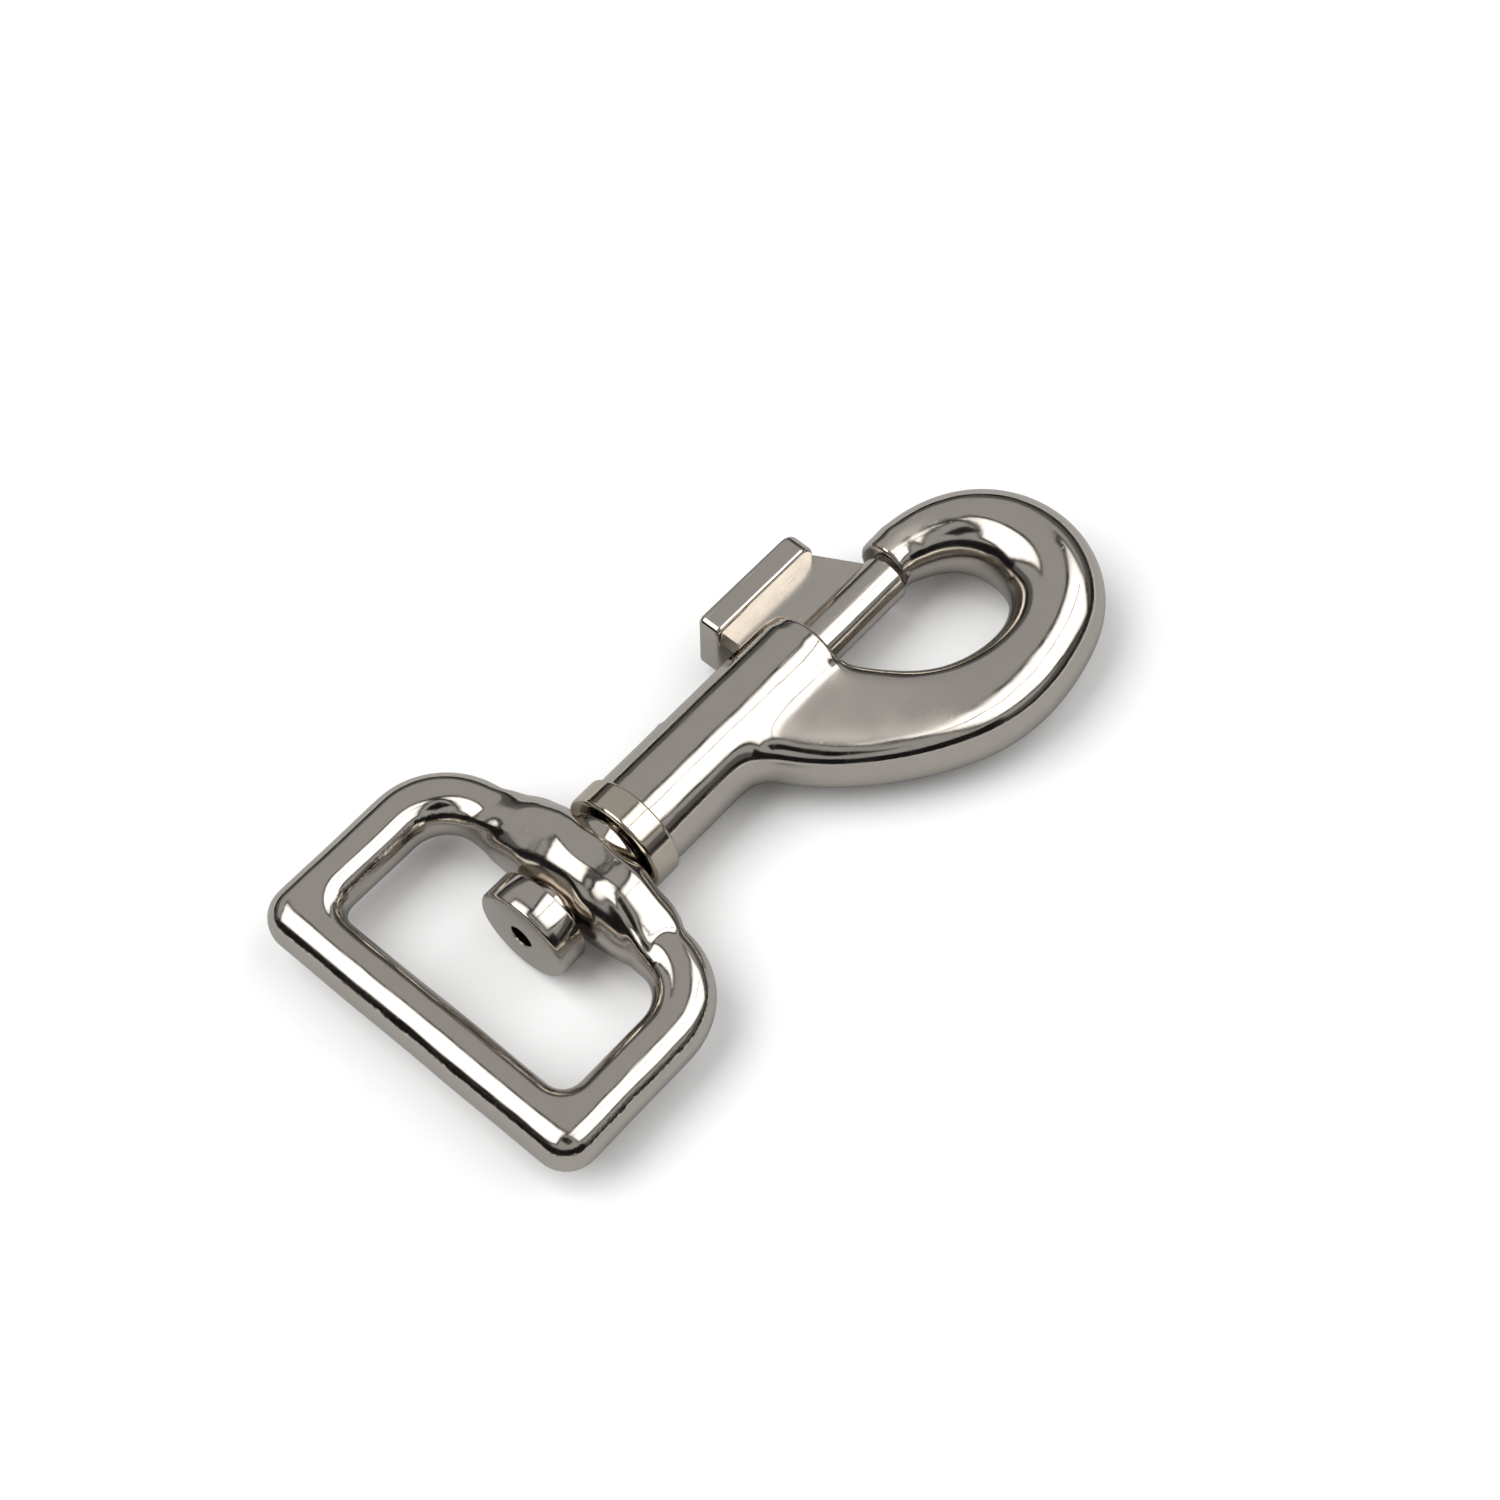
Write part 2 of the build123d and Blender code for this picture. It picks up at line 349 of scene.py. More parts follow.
@dataclass
class NickelParts:
    """The plated castings, dressed as the plating left them."""

    warm: tuple[float, float, float] = (0.66, 0.615, 0.56)
    golden: tuple[float, float, float] = (0.70, 0.64, 0.54)
    finishes: dict[str, NickelFinish] = field(default_factory=dict)

    def __post_init__(self) -> None:
        """Chooses the finish of each casting."""
        self.finishes = {
            "hook_body": NickelFinish("hook_nickel", self.warm, Polish.BRIGHT, wave_height=0.00006, flat_satin=0.28),
            "swivel_eye": NickelFinish(
                "eye_nickel", self.warm, Polish.BRIGHT, wave_height=0.00012, trim_line=0.00002
            ),
            "bolt": NickelFinish("bolt_nickel", self.warm, Polish.BRIGHT, scratches=0.8, flat_satin=0.12),
            "swivel_post": NickelFinish("post_nickel", self.warm, Polish.BRIGHT),
            "end_collar": NickelFinish("collar_nickel", self.golden, Polish.BRIGHT),
        }

    def dress(self, frame: dict, surface: bpy.types.NodeTree) -> None:
        """Gives each casting its material.

        Args:
            surface: The shared cast surface group.
        """
        for node, finish in self.finishes.items():
            mesh = frame["nodes"][node].data
            mesh.materials.clear()
            mesh.materials.append(finish.build(surface))
            LOG.info("dressed %s in %s", node, finish.name)


def ramp(value: np.ndarray, start: float, end: float) -> np.ndarray:
    """Rises smoothly from 0 at start to 1 at end."""
    share = np.clip((value - start) / (end - start), 0.0, 1.0)
    return share * share * (3.0 - 2.0 * share)


@dataclass
class CastSkin:
    """The outside of a casting, softened the way tumbling and polishing soften it."""

    node: str
    body: str
    voxel: float
    passes: int
    regain: float

    def additions(self) -> list[bpy.types.Object]:
        """Gives extra closed shells to melt into the casting."""
        return []

    def softness(self, points: np.ndarray) -> np.ndarray:
        """Gives how far each point is softened, from 0 to 1.

        Args:
            points: Positions in metres.

        Returns:
            One share for each point.
        """
        return np.ones(len(points))

    def unevenness(self, points: np.ndarray) -> np.ndarray:
        """Gives how far each point is pushed out, in metres.

        Args:
            points: Positions in metres.

        Returns:
            One distance for each point.
        """
        return np.zeros(len(points))

    def blank(self, source: bpy.types.Mesh) -> bpy.types.Mesh:
        """Melts the casting and its additions into one even skin.

        Args:
            source: The casting's mesh.

        Returns:
            The skin before it is softened.
        """
        work = bmesh.new()
        work.from_mesh(source)
        for extra in self.additions():
            work.from_mesh(extra.data)
            bpy.data.objects.remove(extra)
        bmesh.ops.remove_doubles(work, verts=work.verts, dist=1e-7)
        mesh = bpy.data.meshes.new(f"{self.node}_blank")
        work.to_mesh(mesh)
        work.free()
        holder = bpy.data.objects.new(f"{self.node}_blank", mesh)
        bpy.context.scene.collection.objects.link(holder)
        melt = holder.modifiers.new("melt", "REMESH")
        melt.mode = "VOXEL"
        melt.voxel_size = self.voxel
        skin = bpy.data.meshes.new_from_object(holder.evaluated_get(bpy.context.evaluated_depsgraph_get()))
        holder.modifiers.remove(melt)
        bpy.data.objects.remove(holder)
        return skin

    def soften(self, skin: bpy.types.Mesh) -> None:
        """Smooths the skin, then gives back the thickness that smoothing took.

        Args:
            skin: The skin to change.
        """
        count = len(skin.vertices)
        points = np.empty(count * 3)
        skin.vertices.foreach_get("co", points)
        points = points.reshape(-1, 3)
        edges = np.empty(len(skin.edges) * 2, dtype=np.int64)
        skin.edges.foreach_get("vertices", edges)
        first, second = edges.reshape(-1, 2).T
        near = np.maximum(np.bincount(first, minlength=count) + np.bincount(second, minlength=count), 1)
        share = 0.5 * self.softness(points)[:, None]
        for _ in range(self.passes):
            total = np.empty_like(points)
            for axis in range(3):
                column = points[:, axis]
                total[:, axis] = np.bincount(first, column[second], count) + np.bincount(second, column[first], count)
            points += share * (total / near[:, None] - points)
        skin.vertices.foreach_set("co", points.ravel())
        skin.update()
        normals = np.empty(count * 3)
        skin.vertex_normals.foreach_get("vector", normals)
        push = self.regain * share[:, 0] * 2.0 + self.unevenness(points)
        points += normals.reshape(-1, 3) * push[:, None]
        skin.vertices.foreach_set("co", points.ravel())
        skin.shade_smooth()
        skin.update()

    def build(self, frame: dict, slot: str) -> bpy.types.Object:
        """Makes the skin and puts it in the place of the plain casting.

        Args:
            slot: The record's name for the finish. Not used.

        Returns:
            The skin's object.
        """
        source = frame["nodes"][self.node].data
        skin = self.blank(source)
        self.soften(skin)
        skin.materials.clear()
        skin.materials.append(source.materials[0])
        piece = bpy.data.objects.new(f"{self.node}_skin", skin)
        bpy.context.scene.collection.objects.link(piece)
        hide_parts(self.node)
        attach(piece, self.body)
        LOG.info("softened %s, %d faces", self.node, len(skin.polygons))
        return piece


@dataclass
class EyeSkin(CastSkin):
    """The swivel eye with its heavy, uneven hub."""

    node: str = "swivel_eye"
    body: str = "eye"
    voxel: float = 0.17 * MM
    passes: int = 14
    regain: float = 0.03 * MM
    hub_x: float = 17.95 * MM
    bore_radius: float = 2.38 * MM
    boss_x: float = 21.15 * MM
    collar_squareness: float = 3.0
    head_squareness: float = 2.1
    collar_reach: float = 0.5

    def additions(self) -> list[bpy.types.Object]:
        """Makes the rounded saddle of metal over the hub, bored for the post."""
        half = [(9.6, -0.3, 2.2, 2.3), (7.2, -0.2, 2.9, 3.2), (4.2, 0.0, 3.3, 4.3), (2.0, 0.0, 3.4, 4.7)]
        stations = [(-y, *rest) for y, *rest in half] + [(0.0, 0.0, 3.42, 4.76)] + [(y, *rest) for y, *rest in half[::-1]]
        sides = 48
        points = []
        for across, shift, length, height in stations:
            for index in range(sides):
                angle = 2 * math.pi * index / sides
                run, rise = math.cos(angle), math.sin(angle)
                power = 2 / (self.collar_squareness if run > 0 else self.head_squareness)
                reach = length + (self.collar_reach if run > 0 else 0.0)
                x = self.hub_x + (shift + reach * math.copysign(abs(run) ** power, run)) * MM
                points.append((x, across * MM, height * math.copysign(abs(rise) ** power, rise) * MM))
        faces = [tuple(range(sides)), tuple(range(len(points) - 1, len(points) - sides - 1, -1))]
        for ring in range(len(stations) - 1):
            for index in range(sides):
                a, b = ring * sides + index, ring * sides + (index + 1) % sides
                faces.append((a, a + sides, b + sides, b))
        mesh = bpy.data.meshes.new("hub_saddle")
        mesh.from_pydata(points, [], faces)
        work = bmesh.new()
        work.from_mesh(mesh)
        bmesh.ops.recalc_face_normals(work, faces=work.faces)
        work.to_mesh(mesh)
        work.free()
        saddle = bpy.data.objects.new("hub_saddle", mesh)
        bpy.context.scene.collection.objects.link(saddle)
        return [self.bored(saddle), self.bored(self.disc("hub_boss", 4.25 * MM, self.boss_x, 1.6 * MM))]

    def disc(self, name: str, radius: float, centre: float, length: float) -> bpy.types.Object:
        """Makes a plain disc on the post's axis.

        Args:
            name: Name of the disc.
            radius: Its radius in metres.
            centre: Where its middle lies along the post.
            length: Its thickness in metres.

        Returns:
            The disc's object.
        """
        stand = Matrix.Translation((centre, 0, 0)) @ Matrix.Rotation(math.pi / 2, 4, "Y")
        work = bmesh.new()
        bmesh.ops.create_cone(
            work, cap_ends=True, segments=64, radius1=radius, radius2=radius, depth=length, matrix=stand
        )
        mesh = bpy.data.meshes.new(name)
        work.to_mesh(mesh)
        work.free()
        disc = bpy.data.objects.new(name, mesh)
        bpy.context.scene.collection.objects.link(disc)
        return disc

    def bored(self, shell: bpy.types.Object) -> bpy.types.Object:
        """Drills the post's hole through a shell.

        Args:
            shell: The shell to drill.

        Returns:
            The same object.
        """
        drill = self.disc("hub_drill", self.bore_radius, self.hub_x, 20.0 * MM)
        cut = shell.modifiers.new("bore", "BOOLEAN")
        cut.operation = "DIFFERENCE"
        cut.solver = "EXACT"
        cut.object = drill
        drilled = bpy.data.meshes.new_from_object(shell.evaluated_get(bpy.context.evaluated_depsgraph_get()))
        shell.modifiers.remove(cut)
        shell.data = drilled
        bpy.data.objects.remove(drill)
        return shell

    def unevenness(self, points: np.ndarray) -> np.ndarray:
        """Pushes the hub in and out as hand filing left it."""
        hub = ramp(points[:, 0], 13.6 * MM, 15.5 * MM) * (1.0 - ramp(np.abs(points[:, 1]), 7.0 * MM, 11.5 * MM))
        out = np.hypot(points[:, 1], points[:, 2])
        hub *= ramp(out, 2.7 * MM, 3.6 * MM)
        coarse = np.array([noise.noise(Vector(p) * 330.0) for p in points])
        gentle = np.array([noise.noise(Vector(p) * 140.0 + Vector((3.0, 0, 0))) for p in points])
        return (0.27 * coarse * hub - 0.06 * hub + 0.07 * gentle) * MM


@dataclass
class HookSkin(CastSkin):
    """The hook casting, with soft fillets."""

    node: str = "hook_body"
    body: str = "hook"
    voxel: float = 0.25 * MM
    passes: int = 110
    regain: float = 0.24 * MM

    def softness(self, points: np.ndarray) -> np.ndarray:
        """Keeps the bore, the slot's mouth, the collar's seat and the nose end crisp."""
        x, y, z = points.T
        out = np.hypot(y, z)
        share = np.maximum(ramp(out, 2.9 * MM, 3.9 * MM), ramp(x, 49.0 * MM, 51.0 * MM))
        seat = 1.0 - ramp(x, 23.5 * MM, 26.5 * MM)
        mouth = (1.0 - ramp(np.abs(x - 47.6 * MM), 0.5 * MM, 2.0 * MM)) * (y > -3.5 * MM)
        nose = (1.0 - ramp(np.abs(x - 58.9 * MM), 0.8 * MM, 2.6 * MM)) * (y > -4.5 * MM)
        slot = (y > 0) * (1.0 - ramp(np.abs(z), 1.6 * MM, 2.8 * MM)) * (x > 33 * MM) * (x < 49 * MM)
        keep = np.maximum.reduce([seat, mouth, nose, slot])
        return share * (1.0 - 0.96 * keep)

    def unevenness(self, points: np.ndarray) -> np.ndarray:
        """Leaves the faint waves of the polishing wheel on the ring."""
        ring = ramp(points[:, 0], 46.0 * MM, 52.0 * MM)
        waves = np.array([noise.noise(Vector(p) * 95.0) for p in points])
        return 0.10 * MM * waves * ring


@dataclass
class PostTurning:
    """The swivel post, turned from bar: plain head with a rounded edge, stem and centre hole."""

    profile: tuple[tuple[float, float], ...] = (
        (17.0, 0.0), (17.0, 1.15), (11.0, 1.15), (10.9, 1.25), (10.9, 4.2), (10.95, 4.38), (11.06, 4.52),
        (11.22, 4.6), (13.7, 4.6), (13.85, 4.52), (13.9, 4.4), (13.9, 2.3), (27.5, 2.3), (27.5, 0.0),
    )
    sides: int = 128

    def build(self, frame: dict) -> bpy.types.Object:
        """Turns the post and puts it in the place of the plain one.


        Returns:
            The post's object.
        """
        work = bmesh.new()
        chain = [work.verts.new((x * MM, r * MM, 0)) for x, r in self.profile]
        edges = [work.edges.new(pair) for pair in zip(chain, chain[1:])]
        bmesh.ops.spin(
            work, geom=chain + edges, axis=(1, 0, 0), cent=(0, 0, 0), steps=self.sides, angle=2 * math.pi
        )
        bmesh.ops.remove_doubles(work, verts=work.verts, dist=1e-7)
        bmesh.ops.recalc_face_normals(work, faces=work.faces)
        for face in work.faces:
            face.smooth = True
        for edge in work.edges:
            edge.smooth = len(edge.link_faces) < 2 or edge.calc_face_angle(0.0) < math.radians(32)
        mesh = bpy.data.meshes.new("post_turned")
        work.to_mesh(mesh)
        work.free()
        mesh.materials.append(frame["nodes"]["swivel_post"].data.materials[0])
        post = bpy.data.objects.new("post_turned", mesh)
        bpy.context.scene.collection.objects.link(post)
        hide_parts("swivel_post")
        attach(post, "hook")
        return post


@dataclass
class CoilSpring:
    """The spring that drives the bolt, a coil made by a node tree."""

    coils: int = 11
    wire: float = 0.45 * MM
    mean_radius: float = 1.8 * MM
    steps: int = 24
    sides: int = 10
    kept_length: float = 0.4
    finish: WireFinish = WireFinish("spring_wire", (0.55, 0.55, 0.56))

    def tree(self, material: bpy.types.Material) -> bpy.types.NodeTree:
        """Builds the coil's node tree.

        Args:
            material: The wire's material.

        Returns:
            A tree with named inputs for the coil's sizes.
        """
        tree = bpy.data.node_groups.new("coil", "GeometryNodeTree")
        face = tree.interface
        face.new_socket("Geometry", in_out="INPUT", socket_type="NodeSocketGeometry")
        for name in ("Turns", "Length", "Mean Radius", "Wire Radius"):
            face.new_socket(name, in_out="INPUT", socket_type="NodeSocketFloat")
        face.new_socket("Geometry", in_out="OUTPUT", socket_type="NodeSocketGeometry")
        start = tree.nodes.new("NodeGroupInput").outputs
        end = tree.nodes.new("NodeGroupOutput").inputs
        helix = tree.nodes.new("GeometryNodeCurveSpiral")
        helix.inputs["Resolution"].default_value = self.steps
        tree.links.new(start["Turns"], helix.inputs["Rotations"])
        tree.links.new(start["Mean Radius"], helix.inputs["Start Radius"])
        tree.links.new(start["Mean Radius"], helix.inputs["End Radius"])
        tree.links.new(start["Length"], helix.inputs["Height"])
        ring = tree.nodes.new("GeometryNodeCurvePrimitiveCircle")
        ring.inputs["Resolution"].default_value = self.sides
        tree.links.new(start["Wire Radius"], ring.inputs["Radius"])
        skin = tree.nodes.new("GeometryNodeCurveToMesh")
        skin.inputs["Fill Caps"].default_value = True
        tree.links.new(helix.outputs["Curve"], skin.inputs["Curve"])
        tree.links.new(ring.outputs["Curve"], skin.inputs["Profile Curve"])
        smooth = tree.nodes.new("GeometryNodeSetShadeSmooth")
        tree.links.new(skin.outputs["Mesh"], smooth.inputs["Geometry"])
        solid = tree.nodes.new("GeometryNodeRealizeInstances")
        tree.links.new(smooth.outputs["Geometry"], solid.inputs["Geometry"])
        dress = tree.nodes.new("GeometryNodeSetMaterial")
        dress.inputs["Material"].default_value = material
        tree.links.new(solid.outputs["Geometry"], dress.inputs["Geometry"])
        tree.links.new(dress.outputs["Geometry"], end["Geometry"])
        return tree

    def build(self) -> bpy.types.Object:
        """Makes the coil between the bore's end and the bolt's back.

        Returns:
            The coil's object.
        """
        low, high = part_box("bolt_spring")
        material = self.finish.build()
        tree = self.tree(material)
        seed = bpy.data.objects.new("coil_seed", bpy.data.meshes.new("coil_seed"))
        bpy.context.scene.collection.objects.link(seed)
        modifier = seed.modifiers.new("coil", "NODES")
        modifier.node_group = tree
        sizes = {
            "Turns": float(self.coils),
            "Length": high.x - low.x - self.wire,
            "Mean Radius": self.mean_radius,
            "Wire Radius": self.wire / 2,
        }
        for item in tree.interface.items_tree:
            if item.in_out == "INPUT" and item.name in sizes:
                modifier[item.identifier] = sizes[item.name]
        evaluated = seed.evaluated_get(bpy.context.evaluated_depsgraph_get())
        mesh = bpy.data.meshes.new_from_object(evaluated)
        seed.modifiers.remove(modifier)
        bpy.data.objects.remove(seed)
        stand = Matrix.Translation((low.x + self.wire / 2, 0, 0)) @ Matrix.Rotation(math.pi / 2, 4, "Y")
        mesh.transform(stand)
        mesh.materials.clear()
        mesh.materials.append(material)
        coil = bpy.data.objects.new("spring_coil", mesh)
        bpy.context.scene.collection.objects.link(coil)
        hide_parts("bolt_spring")
        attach(coil, "hook")
        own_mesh(coil)
        LOG.info("made the spring, %d faces", len(mesh.polygons))
        return coil


def facing(towards: tuple[float, float, float], reach: float) -> Matrix:
    """Finds the place of something that hangs over the object and faces it.

    Args:
        towards: Direction from the object to the thing.
        reach: Distance in metres.

    Returns:
        Its matrix, with the local X axis along the hook's length.
    """
    outward = Vector(towards).normalized()
    along = (Vector((1, 0, 0)) - outward * outward.x).normalized()
    turn = Matrix((along, outward.cross(along), outward)).transposed().to_4x4()
    return Matrix.Translation(Vector((0.03, 0, 0)) + outward * reach) @ turn


@dataclass
class Studio:
    """Camera, pale floor and soft lights."""

    azimuth: float = -49.1
    elevation: float = 59.16
    distance: float = 257.15 * MM
    aim: tuple[float, float] = (36.83 * MM, -2.53 * MM)
    lens: float = 72.27
    floor_colour: float = 0.92
    # Painted shade: share of the floor's colour that the metal sees near the object.
    floor_shade_in_metal: float = 0.45
    floor_fade: tuple[float, float] = (0.10, 0.30)
    room_light: float = 0.38
    tent_light: float = 0.42
    box_reach: float = 1.4
    tent_radius: float = 3.0
    panel_centre: float = 2.5
    panel_edge: float = 1.1

    def back(self) -> Vector:
        """The direction from the object to the camera."""
        a, e = math.radians(self.azimuth), math.radians(self.elevation)
        return Vector((math.sin(a) * math.cos(e), -math.cos(a) * math.cos(e), math.sin(e)))

    def camera(self) -> None:
        """Makes the camera and gives it to the scene."""
        lens = bpy.data.cameras.new("camera")
        lens.sensor_width = 36.0
        lens.lens = self.lens
        lens.clip_start = 0.01
        lens.clip_end = 50.0
        camera = bpy.data.objects.new("camera", lens)
        bpy.context.scene.collection.objects.link(camera)
        camera.rotation_mode = "QUATERNION"
        back = self.back()
        camera.location = Vector((*self.aim, 0.0)) + back * self.distance
        camera.rotation_quaternion = (-back).to_track_quat("-Z", "Y")
        bpy.context.scene.camera = camera

    def floor(self, level: float) -> None:
        """Makes the floor, with painted shade where the metal reflects it near the object.

        Args:
            level: Its height in metres.
        """
        bpy.ops.mesh.primitive_plane_add(size=8.0, location=(0.03, 0.0, level))
        floor = bpy.context.object
        floor.name = "floor"
        material = bpy.data.materials.new("paper")
        material.use_nodes = True
        tree = material.node_tree
        shader = tree.nodes["Principled BSDF"]
        # Painted shade: glossy rays see the near floor darker, standing in for the shade round the object.
        painted_shade = tree.nodes.new("ShaderNodeMapRange")
        painted_shade.inputs["To Min"].default_value = self.floor_colour
        painted_shade.inputs["To Max"].default_value = self.floor_colour * self.floor_shade_in_metal
        path = tree.nodes.new("ShaderNodeLightPath")
        tree.links.new(path.outputs["Is Glossy Ray"], painted_shade.inputs["Value"])
        grey = tree.nodes.new("ShaderNodeCombineColor")
        for name in ("Red", "Green", "Blue"):
            tree.links.new(painted_shade.outputs["Result"], grey.inputs[name])
        tree.links.new(grey.outputs["Color"], shader.inputs["Base Color"])
        shader.inputs["Roughness"].default_value = 0.9
        shader.inputs["Specular IOR Level"].default_value = 0.0
        place = tree.nodes.new("ShaderNodeTexCoord")
        reach = tree.nodes.new("ShaderNodeVectorMath")
        reach.operation = "LENGTH"
        tree.links.new(place.outputs["Object"], reach.inputs[0])
        far = tree.nodes.new("ShaderNodeMapRange")
        far.interpolation_type = "SMOOTHSTEP"
        far.inputs["From Min"].default_value, far.inputs["From Max"].default_value = self.floor_fade
        tree.links.new(reach.outputs["Value"], far.inputs["Value"])
        paper = tree.nodes.new("ShaderNodeEmission")
        blend = tree.nodes.new("ShaderNodeMixShader")
        share = math_node(tree, "MULTIPLY", far.outputs["Result"], seen_share(tree))
        tree.links.new(share, blend.inputs[0])
        tree.links.new(shader.outputs["BSDF"], blend.inputs[1])
        tree.links.new(paper.outputs["Emission"], blend.inputs[2])
        tree.links.new(blend.outputs["Shader"], tree.nodes["Material Output"].inputs["Surface"])
        floor.data.materials.append(material)
        floor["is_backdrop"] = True

    def lamp(
        self, name: str, towards: tuple[float, float, float], reach: float, size: tuple[float, float], power: float
    ) -> None:
        """Hangs one soft box that faces the object.

        Args:
            name: Name of the lamp.
            towards: Direction from the object to the lamp.
            reach: Distance in metres.
            size: Width and height in metres.
            power: Power in watts.
        """
        light = bpy.data.lights.new(name, "AREA")
        light.shape = "RECTANGLE"
        light.size, light.size_y = size
        light.energy = power
        light.specular_factor = 0.0
        lamp = bpy.data.objects.new(name, light)
        bpy.context.scene.collection.objects.link(lamp)
        lamp.matrix_world = facing(towards, reach)
        lamp.visible_glossy = False

    def soft_box(
        self,
        name: str,
        towards: tuple[float, float, float],
        size: tuple[float, float],
        power: float,
    ) -> None:
        """Hangs a soft box with its dark frame, which draws the dark line beside each highlight.

        Args:
            name: Name of the box.
            towards: Direction from the object to the box.
            size: Width and height in metres.
            power: Power in watts.
        """
        self.lamp(name, towards, self.box_reach, size, power)
        rim = 0.16
        self.panel(f"{name}_panel", towards, self.box_reach - 0.01, size)
        card = (size[0] + 2 * rim, size[1] + 2 * rim)
        self.card(f"{name}_frame", towards, self.box_reach + 0.02, card, 0.03)

    def reflected(self, name: str, mesh: bpy.types.Mesh, value: float) -> None:
        """Hangs a card that only shows in the metal.

        Args:
            name: Name of the card.
            mesh: Its shape.
            value: Its brightness.
        """
        card = bpy.data.objects.new(name, mesh)
        bpy.context.scene.collection.objects.link(card)
        card.visible_camera = False
        card.visible_diffuse = False
        card.visible_shadow = False
        material = bpy.data.materials.new(name)
        material.use_nodes = True
        shader = material.node_tree.nodes["Principled BSDF"]
        shader.inputs["Base Color"].default_value = (0.0, 0.0, 0.0, 1.0)
        shader.inputs["Roughness"].default_value = 1.0
        shader.inputs["Specular IOR Level"].default_value = 0.0
        shader.inputs["Emission Color"].default_value = (value, value, value, 1.0)
        shader.inputs["Emission Strength"].default_value = 1.0
        mesh.materials.append(material)
        card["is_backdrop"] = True

    def card(
        self,
        name: str,
        towards: tuple[float, float, float],
        reach: float,
        size: tuple[float, float],
        value: float,
    ) -> None:
        """Hangs one flat card that faces the object.

        Args:
            name: Name of the card.
            towards: Direction from the object to the card.
            reach: Distance in metres.
            size: Width and height in metres.
            value: Its brightness.
        """
        place = facing(towards, reach)
        half_x, half_y = size[0] / 2, size[1] / 2
        corners = [(-half_x, -half_y, 0), (half_x, -half_y, 0), (half_x, half_y, 0), (-half_x, half_y, 0)]
        mesh = bpy.data.meshes.new(name)
        mesh.from_pydata([place @ Vector(corner) for corner in corners], [], [(0, 1, 2, 3)])
        self.reflected(name, mesh, value)

    def panel(
        self,
        name: str,
        towards: tuple[float, float, float],
        reach: float,
        size: tuple[float, float],
    ) -> None:
        """Hangs a soft box's bright face, which fades towards its edges as a lit cloth does.

        Args:
            name: Name of the face.
            towards: Direction from the object to the face.
            reach: Distance in metres.
            size: Width and height in metres.
        """
        steps = 16
        place = facing(towards, reach)
        points, glow = [], []
        for row in range(steps + 1):
            for column in range(steps + 1):
                across, up = 2 * column / steps - 1, 2 * row / steps - 1
                points.append(place @ Vector((across * size[0] / 2, up * size[1] / 2, 0)))
                fade = (1 - across**4) * (1 - up**4)
                glow.append(self.panel_edge + (self.panel_centre - self.panel_edge) * fade)
        width = steps + 1
        starts = [row * width + column for row in range(steps) for column in range(steps)]
        mesh = bpy.data.meshes.new(name)
        mesh.from_pydata(points, [], [(i, i + 1, i + width + 1, i + width) for i in starts])
        mesh.attributes.new("glow", "FLOAT", "POINT").data.foreach_set("value", glow)
        self.reflected(name, mesh, 1.0)
        tree = mesh.materials[0].node_tree
        level = tree.nodes.new("ShaderNodeAttribute")
        level.attribute_name = "glow"
        tree.links.new(level.outputs["Fac"], tree.nodes["Principled BSDF"].inputs["Emission Strength"])

    def horizon(
        self,
        name: str,
        azimuths: tuple[float, float],
        heights: tuple[float, float],
        reach: float,
        value: float,
    ) -> None:
        """Puts up one curved card round the object, near the floor.

        Args:
            name: Name of the card.
            azimuths: Start and end, in degrees from +X towards +Y.
            heights: Lowest and highest elevation, in degrees.
            reach: Distance in metres.
            value: Its brightness.
        """
        steps = 48
        points = []
        for index in range(steps + 1):
            angle = math.radians(azimuths[0] + (azimuths[1] - azimuths[0]) * index / steps)
            for height in heights:
                level = reach * math.tan(math.radians(height))
                points.append((0.03 + reach * math.cos(angle), reach * math.sin(angle), level))
        faces = [(2 * i, 2 * i + 2, 2 * i + 3, 2 * i + 1) for i in range(steps)]
        mesh = bpy.data.meshes.new(name)
        mesh.from_pydata(points, [], faces)
        self.reflected(name, mesh, value)

    def room(self) -> None:
        """Sets the light of the room round the object."""
        world = bpy.data.worlds.new("room")
        bpy.context.scene.world = world
        world.use_nodes = True
        tree = world.node_tree
        sky = tree.nodes["Background"]
        level = tree.nodes.new("ShaderNodeMapRange")
        level.inputs["To Min"].default_value = self.room_light
        level.inputs["To Max"].default_value = 1.0
        tree.links.new(seen_share(tree), level.inputs["Value"])
        tree.links.new(level.outputs["Result"], sky.inputs["Strength"])
        sky.inputs["Color"].default_value = (1.0, 1.0, 1.0, 1.0)
        work = bmesh.new()
        bmesh.ops.create_uvsphere(work, u_segments=48, v_segments=24, radius=self.tent_radius)
        tent = bpy.data.meshes.new("tent")
        work.to_mesh(tent)
        work.free()
        self.reflected("tent", tent, self.tent_light)

    def build(self, level: float) -> None:
        """Builds the whole studio.

        Args:
            level: Height of the floor in metres.
        """
        self.camera()
        self.floor(level)
        self.room()
        self.soft_box("right_box", (0.50, -0.38, 0.78), (1.65, 1.3), 9.0)
        self.soft_box("left_box", (-0.42, 0.36, 0.84), (1.35, 1.0), 17.0)
        self.card("box_joint", (0.39, -0.27, 0.88), 1.3, (1.5, 0.05), 0.0)
        self.card("viewer_card", tuple(self.back()), 0.32, (0.10, 0.16), 0.005)
        self.horizon("room_edge", (0.0, 360.0), (-0.2, 10.0), 1.8, 0.012)
        self.horizon("room_band", (0.0, 360.0), (-0.2, 21.0), 1.9, 0.12)
        self.horizon("viewer_band", (135.0, 275.0), (-0.2, 30.0), 1.7, 0.01)
        LOG.info("set the studio, floor at %.2f mm", level / MM)


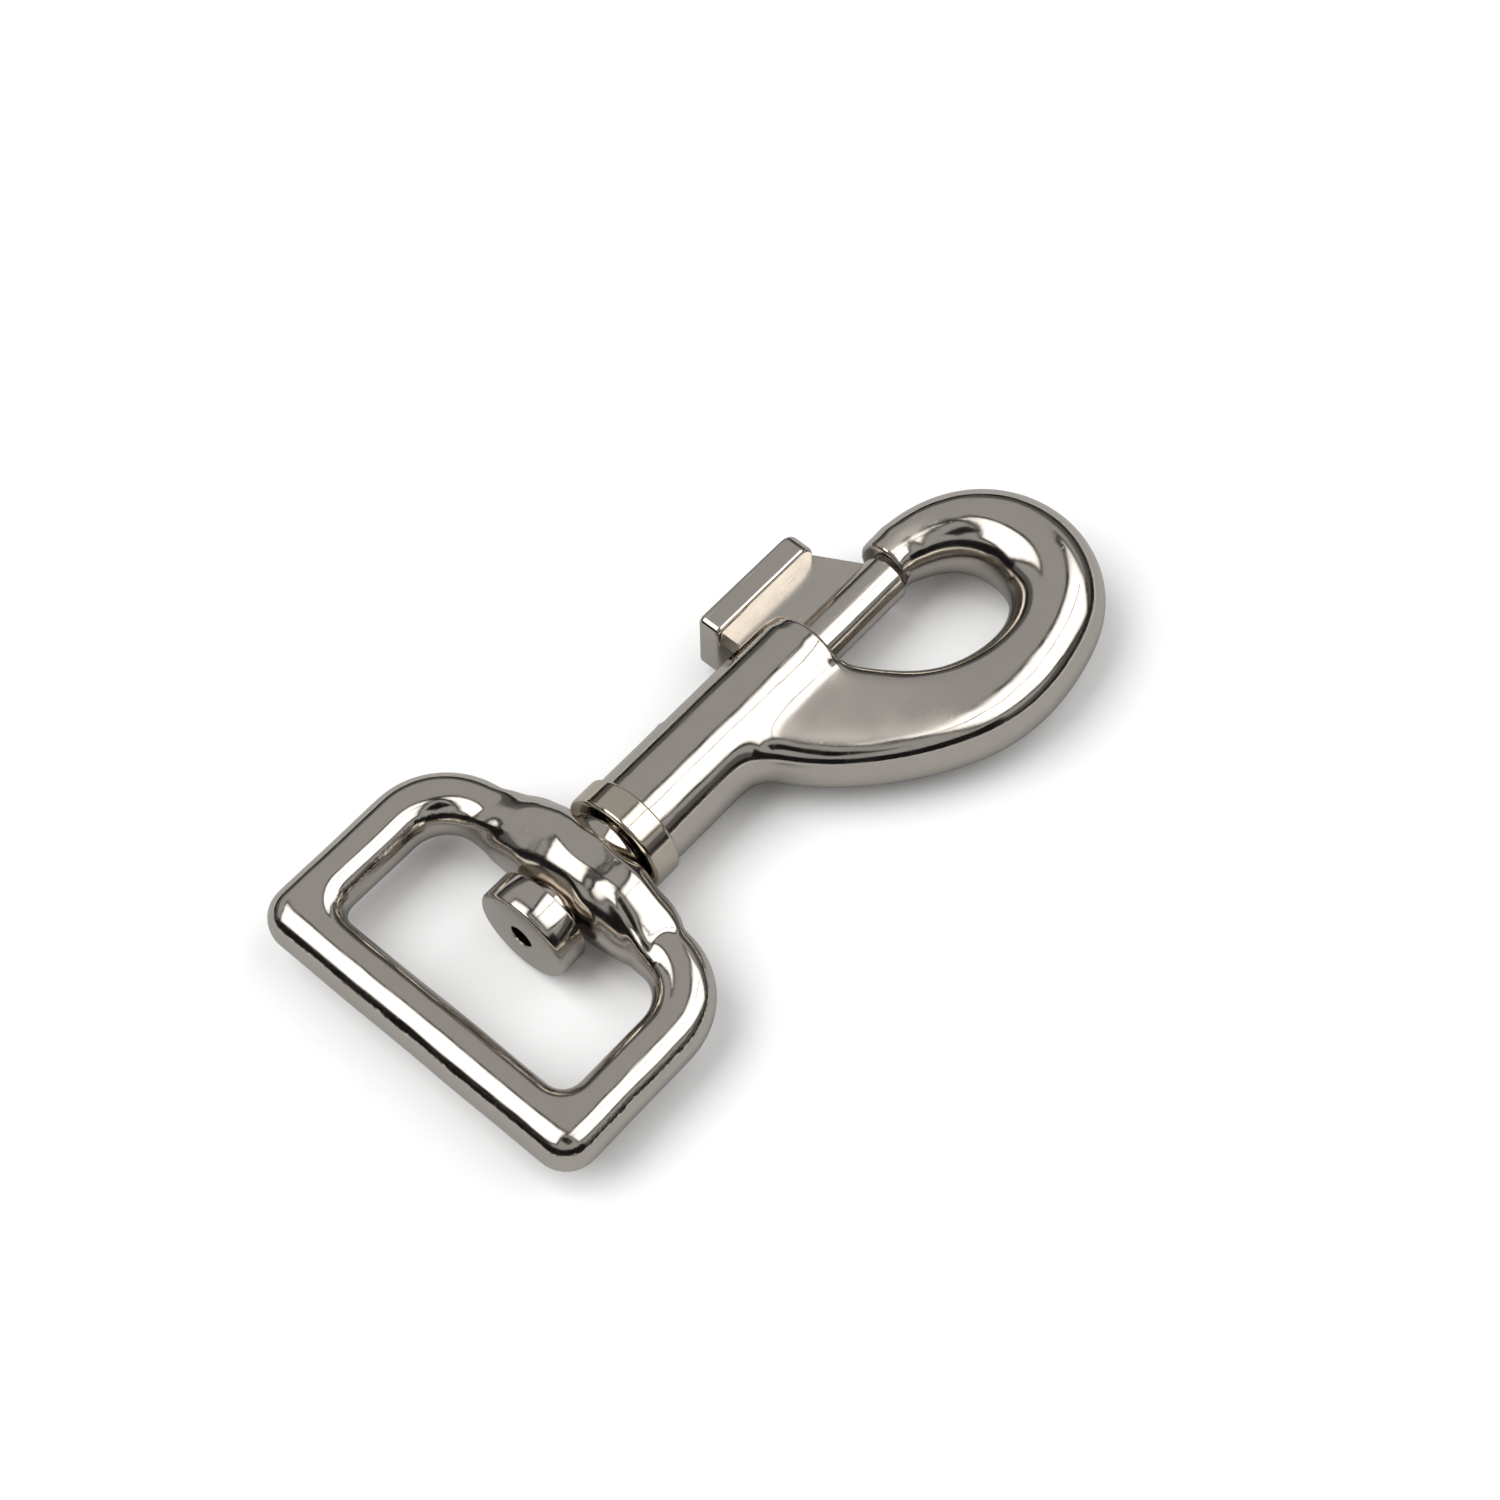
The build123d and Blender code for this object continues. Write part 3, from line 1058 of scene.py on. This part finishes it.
def main() -> None:
    """Builds the scene."""
    logging.basicConfig(level=logging.INFO, format="%(name)s: %(message)s")
    bpy.ops.wm.read_factory_settings(use_empty=True)
    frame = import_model()
    low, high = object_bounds()
    scene = bpy.context.scene
    scene.view_settings.view_transform = "Standard"
    NickelParts().dress(frame, cast_surface_group())
    EyeSkin().build(frame, "polished_nickel")
    HookSkin().build(frame, "polished_nickel")
    PostTurning().build(frame)
    CoilSpring().build()
    Studio().build(low.z)


if __name__ == "__main__":
    main()
